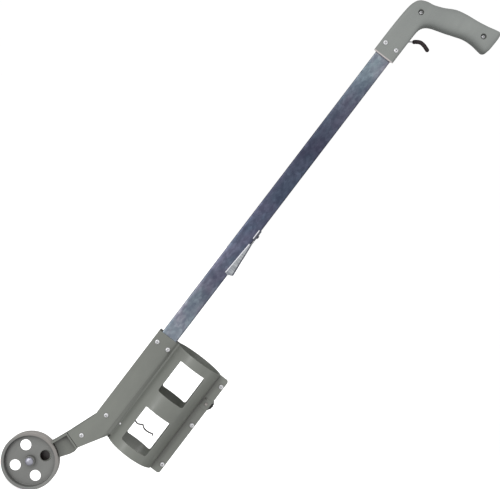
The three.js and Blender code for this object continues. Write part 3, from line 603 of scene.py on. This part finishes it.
# ---------------------------------------------------------------- grip shells
# Stations from the socket's mouth to the butt: the (x, z) point on the back edge, the one on the palm
# edge, the power of the superellipse between them, and its share of the full depth.
GRIP_STATIONS = [
    ((-16.6, 498), (16.6, 498), 10, 1),
    ((-16.6, 532), (16.6, 532), 10, 1),
    ((-16.3, 558), (16.8, 554), 8, 1),
    ((-15.4, 580), (17, 566), 6, 1),
    ((-13.6, 595), (17.8, 573.5), 5, 1),
    ((-8.5, 606), (19.8, 578.8), 4.2, 1),
    ((1.5, 611.8), (24, 583.4), 3.6, 1),
    ((13, 614.2), (31, 587.2), 3.2, 1),
    ((27, 619.8), (40.6, 590.2), 3, 1),
    ((43, 628.3), (52, 593.7), 3, 1),
    ((60, 632.2), (64, 598), 3, 1),
    ((78, 634.2), (77, 602.3), 3, 1),
    ((94, 636.8), (91, 603.6), 3.2, 1),
    ((106, 639.5), (104, 602.4), 3.6, 1),
    ((112.5, 640.4), (110.8, 602), 4, 0.97),
    ((115.8, 637.6), (114.8, 604.8), 4, 0.86),
    ((116.8, 632), (116.3, 611), 4, 0.66),
]
GRIP_WALL = 3.8
SPLIT = 0.15
GRIP_SCREWS = {"grip_front_screw": (4.8, 592), "grip_rear_screw": (97.4, 618.7)}
RECESS_SEAT = -12.6
TRIGGER = (9.5, 546)


def grip_ring(share, sides):
    """One section of the grip as (x, y, z) points."""
    backs, palms, powers, depths = zip(*GRIP_STATIONS)
    back = catmull([Vector(point) for point in backs], share)
    palm = catmull([Vector(point) for point in palms], share)
    along = share * (len(GRIP_STATIONS) - 1)
    before, rest = int(along), along % 1
    after = min(before + 1, len(GRIP_STATIONS) - 1)
    power = powers[before] + (powers[after] - powers[before]) * rest
    depth = depths[before] + (depths[after] - depths[before]) * rest
    centre, half = (back + palm) / 2, (back - palm) / 2
    ring = []
    for i in range(sides):
        angle = 2 * math.pi * (i + 0.5) / sides
        along, across = (math.copysign(abs(v) ** (2 / power), v) for v in (math.cos(angle), math.sin(angle)))
        spot = centre + half * along
        ring.append((spot.x, across * GRIP_HALF_DEPTH * depth, spot.y))
    return ring


def grip_loft(rings=130, sides=80):
    """The solid grip, as a skin over its sections, open at the mouth."""
    bm = bmesh.new()
    made = [[bm.verts.new(at(*p)) for p in grip_ring(i / (rings - 1), sides)] for i in range(rings)]
    skin(bm, made)
    bm.faces.new(made[-1])
    bmesh.ops.recalc_face_normals(bm, faces=bm.faces)
    return bm


def grip_shell(side, node):
    """One moulded half of the grip: side -1 is near the screw heads and 1 is far from them."""
    bm = grip_loft()
    slope = Vector((0, math.sin(GRIP_MOUTH_SLOPE), -math.cos(GRIP_MOUTH_SLOPE)))
    cuts = [(at(0, side * SPLIT, 0), Vector((0, -side, 0))), (at(0, -GRIP_HALF_DEPTH, GRIP_MOUTH), slope)]
    for spot, outwards in cuts:
        everything = bm.verts[:] + bm.edges[:] + bm.faces[:]
        bmesh.ops.bisect_plane(bm, geom=everything, plane_co=spot, plane_no=outwards, clear_outer=True)
    piece = new_piece(node, bm)
    wall = piece.modifiers.new("wall", "SOLIDIFY")
    wall.thickness = GRIP_WALL * MM
    wall.offset = -1
    rounded_edges(piece, 0.4, 2, 50)
    frozen(piece)
    x, z = TRIGGER
    wire_slot = prism(fillet([(x, z), (x + 11, z), (x + 11, z + 10.5), (x, z + 10.5)], 1.5), -2, 2)
    carved(piece, wire_slot, turned([(0, -5.4), (5, -5.4), (5, 5.4), (0, 5.4)], x, z, 32))
    if side < 0:
        for x, z in GRIP_SCREWS.values():
            screw_recess(piece, x, z)
    return dress(smooth(piece, 40), node)


def screw_recess(piece, x, z):
    """A boss behind the wall, then a countersunk well with a small lip at the outer surface."""
    carved(piece, turned([(0, -15), (5.6, -15), (5.6, -1), (0, -1)], x, z, 40), operation="UNION")
    lip = GRIP_HALF_DEPTH - 0.6
    well = [(0, RECESS_SEAT), (4, RECESS_SEAT), (4, -lip), (4.7, -lip - 0.9), (4.7, -40), (0, -40)]
    carved(piece, turned(fillet(well, 0.5, closed=False), x, z, 48))


# ---------------------------------------------------------------- body, tube and clip
TUBE_HALF = 12.7
TUBE_WALL = 1.5


def square(half, radius, steps=6):
    """A square outline with rounded corners about the origin."""
    return fillet([(-half, -half), (half, -half), (half, half), (-half, half)], radius, steps=steps)


def tube_piece():
    """The hollow square tube, between the ends of its CAD box."""
    low, high = TUBE_LOW.z, TUBE_HIGH.z
    bm = bmesh.new()
    rings = []
    outside = square(TUBE_HALF, 2.4)
    bore = square(TUBE_HALF - TUBE_WALL, 1)
    for outline, height in ((outside, low), (outside, high), (bore, high), (bore, low)):
        rings.append([bm.verts.new((AXIS_X + x * MM, y * MM, height)) for x, y in outline])
    skin(bm, rings, closed=True)
    dress(smooth(new_piece("tube", bm), 20), "tube")


CLIP_OUTSIDE = 14
TONGUE_TOP = (10, 12.5, 177.4)
TONGUE_END = (7, 17.8, 123.6)
GROOVE_PITCH = 1.1


def tongue_face(side):
    """The clip's side flange: a thin sheet with shallow rolled grooves and an uneven lower edge."""
    rows, columns = 220, 14
    sheets = []
    bm = bmesh.new()
    for proud in (0.05, -0.4):
        grid = []
        for r in range(rows):
            share = r / (rows - 1)
            front, back = (TONGUE_TOP[i] + (TONGUE_END[i] - TONGUE_TOP[i]) * share for i in (0, 1))
            height = TONGUE_TOP[2] + (TONGUE_END[2] - TONGUE_TOP[2]) * share
            row = []
            for c in range(columns):
                across = c / (columns - 1)
                ragged = share**8 * (0.9 * math.sin(9 * across) - 1.6 * (1 - across))
                rib = 0.16 * (0.5 + 0.5 * math.cos(2 * math.pi * height / GROOVE_PITCH + 0.5 * across))
                y = side * (CLIP_OUTSIDE + proud + (rib if proud > 0 else 0))
                row.append(bm.verts.new(at(front + (back - front) * across, y, height + ragged)))
            grid.append(row)
        sheets.append(grid)
    outer, inner = sheets
    for grid in sheets:
        for row, after in zip(grid, grid[1:]):
            for c in range(columns - 1):
                bm.faces.new((row[c], row[c + 1], after[c + 1], after[c]))
    for a, b in zip(border(outer), border(inner)):
        bm.faces.new((a[0], a[1], b[1], b[0]))
    bmesh.ops.recalc_face_normals(bm, faces=bm.faces)
    return smooth(new_piece("tongue_face", bm), 60)


def border(grid):
    """The edges round a grid of vertices, in order."""
    round_it = grid[0] + [row[-1] for row in grid[1:]] + grid[-1][-2::-1] + [row[0] for row in grid[-2:0:-1]]
    return list(zip(round_it, round_it[1:] + round_it[:1]))


def added(piece, name, body, finish):
    """A piece that stands for no CAD node of its own."""
    piece.name = name
    piece.data.materials.append(finish)
    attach(piece, body)


def clip_pieces():
    """The belt clip: its CAD sheet and rivet painted dark as shade, and a flange on each side with near-white
    painted-highlight bars along its edges.
    """
    softened("belt_clip", 0.15, finish=CLIP_SHADE)
    softened("belt_clip_rivet", 0.15, finish=CLIP_SHADE)
    for side, name in ((-1, "near"), (1, "far")):
        added(tongue_face(side), f"clip_flange_{name}", "frame", CLIP_FACE)
        y = side * (CLIP_OUTSIDE - 0.2)
        # Painted highlight: a near-white bar along each flange's front edge.
        for i, (top, bottom) in enumerate((((10.1, 200.6), (10.1, 187)), ((10.6, 176), (7.9, 124.4)))):
            edge = [Vector((top[0], y, top[1])), Vector((bottom[0], y, bottom[1]))]
            path = [edge[0].lerp(edge[1], step / 12) for step in range(13)]
            added(bar(path, 0.8, 12), f"clip_highlight_{name}_{i}", "frame", CLIP_HIGHLIGHT)


# ---------------------------------------------------------------- fasteners
BODY_HALF_DEPTH = 15
FLANGE_HALF = 3.15
SHANK = 1.3


def cross(radius, half_width, turn):
    """The outline of a four-armed driver recess about the origin."""
    points = []
    for arm in range(4):
        for along, across in ((half_width, half_width), (radius, half_width), (radius, -half_width)):
            angle = turn - arm * math.pi / 2
            points.append((along * math.cos(angle) - across * math.sin(angle),
                           along * math.sin(angle) + across * math.cos(angle)))
    return points


def screw(node, x, z, seat, tip, head, turn):
    """A pan-head screw with a cross recess, whose head rests on y = seat."""
    rise = head * 0.62
    crown = [(0, seat - rise), (head * 0.5, seat - rise * 0.93), (head * 0.87, seat - rise * 0.55)]
    profile = [*crown, (head, seat), (SHANK, seat), (SHANK, tip - 0.6), (0, tip)]
    piece = turned(fillet(profile, 0.5, closed=False), x, z, 40)
    outline = [(x + dx, z + dz) for dx, dz in cross(head * 0.56, 0.38, turn)]
    carved(piece, prism(outline, seat - rise - 1, seat - rise * 0.4))
    dress(smooth(piece, 30), node)


def hexagon(x, z, across_flats):
    """The six corners of a nut about (x, z)."""
    reach = across_flats / math.sqrt(3)
    return [(x + reach * math.cos(i * math.pi / 3), z + reach * math.sin(i * math.pi / 3)) for i in range(6)]


def nut(node, x, z, y0, y1, across_flats, bore):
    """A hexagon nut with chamfered corners on its outer face and a countersunk bore."""
    clear = across_flats / math.sqrt(3) + 1
    under, over = y0 - 1, y1 + 0.05
    piece = prism(hexagon(x, z, across_flats), y0, y1)
    chamfer = [(0, under), (clear, under), (clear, y1 - 1.1), (across_flats * 0.47, over), (0, over)]
    carved(piece, turned(chamfer, x, z, 48), operation="INTERSECT")
    hole = [(0, under), (bore, under), (bore, y1 - 0.4), (bore + 0.6, y1 + 0.2), (0, y1 + 0.2)]
    carved(piece, turned(hole, x, z, 32))
    dress(smooth(piece, 25), node)


def through_screws():
    """Each screw with its nut, from the places of their CAD boxes."""
    faces = {"flange": FLANGE_HALF, "socket": GRIP_HALF_DEPTH}
    names = sorted(node[:-4] for node in frame["nodes"] if node.endswith("_nut") and node != "axle_nut")
    for i, name in enumerate(names):
        face = faces.get(name.split("_")[0], BODY_HALF_DEPTH)
        spot = middle(f"{name}_screw")
        screw(f"{name}_screw", spot.x, spot.z, -face - 0.05, face + 3.6, 3.5, 0.4 + 0.7 * i)
        nut(f"{name}_nut", spot.x, spot.z, face + 0.1, face + 2.5, 5.5, SHANK + 0.05)


def ring(node, x, z, inner, outer, y0, y1):
    """A washer or a bushing about the line through (x, z) along Y."""
    profile = fillet([(inner, y0), (outer, y0), (outer, y1), (inner, y1)], 0.25)
    dress(turned(profile, x, z, 64, closed=True), node)


# ---------------------------------------------------------------- wheel
WHEEL_RADIUS = 41.6
WHEEL_RIM = 4.6
WHEEL_HALF = 9.5
WHEEL_HOLE = (23.3, 8.1, math.radians(54.5))


def wheel_piece(x, z):
    """The dished wheel: a rim and a hub round a thin web with four lipped holes."""
    half, web = WHEEL_HALF, 1.5
    inner = WHEEL_RADIUS - WHEEL_RIM
    near = [(5.5, -half), (7.5, -half), (8, -web), (inner - 0.8, -web), (inner, -half), (WHEEL_RADIUS, -half)]
    profile = fillet(near + [(radius, -y) for radius, y in reversed(near)], 1.0)
    disc = turned(profile, x, z, 144, closed=True)
    circle, radius, turn = WHEEL_HOLE
    lip = radius + 0.6
    hole = [(0, -4), (lip, -4), (lip, -web), (radius, -0.8), (radius, 0.8), (lip, web), (lip, 4), (0, 4)]
    hole = fillet(hole, 0.4, closed=False)
    angles = [turn + i * math.pi / 2 for i in range(4)]
    places = [(x + circle * math.cos(angle), z + circle * math.sin(angle)) for angle in angles]
    carved(disc, *[turned(hole, *place, 64) for place in places])
    dress(smooth(disc, 40), "wheel", WHEEL_PLASTIC)


def axle_piece(x, z):
    """The axle, with a domed head on the near side."""
    seat, tip = -WHEEL_HALF - 0.3, 19.4
    profile = [(0, seat - 3.4), (2.6, seat - 3), (5.1, seat - 1.9), (6.2, seat - 0.6), (6.2, seat), (4, seat),
               (4, tip - 0.8), (3.2, tip), (0, tip)]
    dress(turned(fillet(profile, 1.2, closed=False), x, z, 64), "axle", AXLE_STEEL)


def wheel_pieces():
    """The wheel, what it turns on, and the bracket that holds it."""
    x, z = WHEEL_SPOT.x, WHEEL_SPOT.z
    wheel_piece(x, z)
    axle_piece(x, z)
    ring("wheel_bushing", x, z, 4.06, 5.45, -9.4, 9.4)
    ring("axle_washer", x, z, 4.1, 8, 9.75, 10.6)
    nut("axle_nut", x, z, 14.4, 18.2, 13, 4.05)
    softened("wheel_bracket", 0.5, finish=BRACKET_PLASTIC)


# ---------------------------------------------------------------- clamp
def clamp_pieces():
    """The fluted knob, its washer and the stud that it turns on."""
    spot = middle("clamp_stud")
    lobes, depth, plain, reach = 16, 0.35, 8, 11.3
    neck = [(0, 18.9), (2.45, 18.9), (2.45, 4.6), (6.5, 4.6), (6.5, 12.6), (plain, 13.2)]
    profile = [*neck, (reach, 13.2), (reach, 22), (8.6, 22), (7.4, 21.2), (0, 21.2)]

    def fluted(radius, angle):
        """The radius with the finger grooves taken out of it, deepest at the knob's edge."""
        share = min(max((radius - plain) / (reach - plain), 0), 1)
        return radius - depth * share * (1 - math.cos(lobes * angle))

    dress(turned(fillet(profile, 0.9, closed=False), spot.x, spot.z, 160, shape=fluted), "clamp_knob")
    ring("clamp_washer", spot.x, spot.z, 2.55, 6.2, 3.25, 4.3)
    end = -FLANGE_HALF - 2
    stud = [(0, end), (1.7, end + 0.1), (2.4, end + 1), (2.4, 16.4), (1.8, 17), (0, 17)]
    dress(turned(fillet(stud, 0.4, closed=False), spot.x, spot.z, 40), "clamp_stud")


# ---------------------------------------------------------------- trigger, rod and yoke
FINGER_CURVE = [(25, 0, 557.6), (30.6, 0, 560.6), (37.5, 0, 560.3)]
STRAND = [(20.7, -139.9), (28, -131.6), (33.5, -128.2), (38.8, -129.2), (42.5, -128.2), (46.6, -125.9),
          (49.6, -128.3), (54.5, -129.7), (60.5, -129.4), (65.4, -128.1), (67.2, -129.4)]
STRAND_Y = 1.6
SPRING_RADIUS = 3.1
SPRING_WIRE = 0.5
SPRING_TURNS = 6
SPRING_LOW = 521.8
SPRING_RISE = 15.9


def trigger_pieces():
    """The wire trigger, its dipped sleeve and the lever inside the grip."""
    wire = smooth_path([(11.3, 0, 547.3), (18, 0, 552.2), *FINGER_CURVE, (44.2, 0, 558.1)], 60)
    dress(bar(wire, 1.25, 16), "trigger_wire")
    cover = smooth_path([(22.8, 0, 555.7), *FINGER_CURVE, (45, 0, 557.8)], 60)
    dress(bar(cover, 3, 24, 7), "trigger_sleeve")
    softened("trigger_lever", 0.3)


def squashed_spring():
    """The return spring: a uniform coil of wire round the rod, with a mesh of its own."""
    coil = []
    steps = 48 * SPRING_TURNS
    for i in range(steps + 1):
        turn = 2 * math.pi * SPRING_TURNS * i / steps
        height = SPRING_LOW + SPRING_RISE * i / steps
        coil.append(Vector((SPRING_RADIUS * math.cos(turn), SPRING_RADIUS * math.sin(turn), height)))
    spring = dress(bar(coil, SPRING_WIRE, 10), "return_spring")
    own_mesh(spring)


def linkage_pieces():
    """The rod, its spring and guides, and the yoke that presses the valve."""
    rod = [Vector(point) for point in ((0, 0, 541.1), (0, 0, -112), (5, 0, -122), (5, 0, -132.5))]
    dress(bar(rod, 1.5, 16), "push_rod")
    squashed_spring()
    for node in ("rod_foot", "yoke_lever", "rod_guide_upper", "rod_guide_lower", "rod_collar"):
        softened(node, 0.25)
    there = smooth_path([(x, -STRAND_Y, z) for x, z in STRAND], 80)
    back = smooth_path([(x, STRAND_Y, z) for x, z in reversed(STRAND)], 80)
    dress(bar(there + back, 0.78, 12), "yoke_wire")
    for node in ("yoke_pin", "trigger_pin"):
        softened(node, 0.2)


WHEEL_GREY = (0.205, 0.208, 0.2)
WHEEL_PLASTIC = moulded_plastic(
    "wheel_plastic", WHEEL_GREY, 0.4, 0.35, alone=True, hollows=0.45, marks=wheel_light_and_shade
)
BRACKET_PLASTIC = moulded_plastic("bracket_plastic", BODY_GREY, 0.38, marks=bracket_light_and_shade)
AXLE_STEEL = plated_steel("axle_steel", (0.46, 0.46, 0.53), 0.3)
CLIP_FACE = clip_sheet("clip_face")
CLIP_SHADE = plated_steel("clip_shade", (0.1, 0.105, 0.13), 0.42, 0.75)
# Near-white steel that paints the highlight along the clip's flange edges.
CLIP_HIGHLIGHT = plated_steel("clip_highlight", (0.95, 0.95, 1.0), 0.35, 0.1)

for node in ("body_shell_near", "body_shell_far"):
    softened(node, 0.7)
for side, node in ((-1, "grip_shell_near"), (1, "grip_shell_far")):
    grip_shell(side, node)
tube_piece()
clip_pieces()
through_screws()
for turn, (node, (x, z)) in enumerate(GRIP_SCREWS.items()):
    screw(node, x, z, RECESS_SEAT - 0.05, 11, 2.9, 0.3 + turn)
wheel_pieces()
clamp_pieces()
trigger_pieces()
linkage_pieces()
for name, thing in frame["nodes"].items():
    thing.data.materials.clear()
    thing.data.materials.append(FINISHES[SLOT_OF[name]])


# ---------------------------------------------------------------- stage, lights and camera
CAMERA_DISTANCE = 1.519
CAMERA_LENS = 75.2
CAMERA_ROLL = math.radians(37.33)


def stage_material(name, colour, glow):
    """A matt colour with a white glow of its own."""
    n = Nodes(name)
    return n.set(base_color=(*colour, 1), roughness=0.9, emission_color=(1, 1, 1, 1), emission_strength=glow)


def seen_only(thing):
    """A stage piece that the camera sees, but that sends no light back to the object."""
    thing.visible_diffuse = False
    thing.visible_glossy = False
    thing.visible_transmission = False
    thing.visible_shadow = False


def floor():
    """A pale disc just under the lowest point of the object."""
    bm = bmesh.new()
    bmesh.ops.create_circle(bm, cap_ends=True, segments=64, radius=30)
    piece = new_piece("floor", bm)
    piece.location.z = cad_box[0][2] - 0.002
    piece.data.materials.append(stage_material("floor_white", (0.9, 0.9, 0.9), 0.75))
    seen_only(piece)


def backdrop():
    """A white globe round the whole scene."""
    bm = bmesh.new()
    bmesh.ops.create_uvsphere(bm, u_segments=48, v_segments=24, radius=40)
    piece = new_piece("backdrop", bm)
    piece.data.materials.append(stage_material("backdrop_white", (0, 0, 0), 1.0))
    seen_only(piece)


def strip_light(name, direction, width, power, shine=True):
    """A tall soft light, 2.5 m from the wand's middle in a direction, that may cast no highlights."""
    target = at(0, 0, 100)
    place = target + Vector(direction).normalized() * 2.5
    data = bpy.data.lights.new(name, "AREA")
    data.shape = "RECTANGLE"
    data.size = width
    data.size_y = 2.2
    data.energy = power
    lamp = bpy.data.objects.new(name, data)
    lamp.visible_glossy = shine
    lamp.location = place
    lamp.rotation_mode = "QUATERNION"
    lamp.rotation_quaternion = (target - place).to_track_quat("-Z", "Y")
    bpy.context.scene.collection.objects.link(lamp)


def room_light():
    """A white room, brightest in front of the wand and a little brighter above it than below."""
    world = bpy.data.worlds.new("white_room")
    bpy.context.scene.world = world
    world.use_nodes = True
    tree = world.node_tree
    background = tree.nodes["Background"]
    background.inputs["Color"].default_value = (1, 1, 1, 1)
    direction = tree.nodes.new("ShaderNodeTexCoord").outputs["Generated"]
    slope = tree.nodes.new("ShaderNodeVectorMath")
    slope.operation = "DOT_PRODUCT"
    slope.inputs[1].default_value = (-0.1, -0.4, 0.12)
    level = tree.nodes.new("ShaderNodeMath")
    level.inputs[1].default_value = 0.53
    tree.links.new(direction, slope.inputs[0])
    tree.links.new(slope.outputs["Value"], level.inputs[0])
    tree.links.new(level.outputs[0], background.inputs["Strength"])


def lighting():
    """The room, the three lights and the view transform."""
    room_light()
    strip_light("key", (-0.65, -1, 0), 0.35, 13.5)
    strip_light("side_fill", (1, -0.35, 0), 0.8, 3)
    strip_light("back_key", (0.3, 1, 0.6), 0.8, 22, shine=False)
    view = bpy.context.scene.view_settings
    view.view_transform = "Standard"
    view.look = "None"
    view.exposure = 0


def camera():
    """A camera square to the wand's side, rolled so that the wand leans."""
    data = bpy.data.cameras.new("camera")
    data.lens = CAMERA_LENS
    data.sensor_width = 36
    data.clip_end = 100
    eye = bpy.data.objects.new("camera", data)
    aim = at(11.6, 0, 176.9)
    aim.y = -CAMERA_DISTANCE
    right = Vector((math.cos(CAMERA_ROLL), 0, math.sin(CAMERA_ROLL)))
    up = Vector((-math.sin(CAMERA_ROLL), 0, math.cos(CAMERA_ROLL)))
    turn = Matrix((right, up, Vector((0, -1, 0)))).transposed().to_4x4()
    eye.matrix_world = Matrix.Translation(aim) @ turn
    bpy.context.scene.collection.objects.link(eye)
    bpy.context.scene.camera = eye


floor()
backdrop()
lighting()
camera()
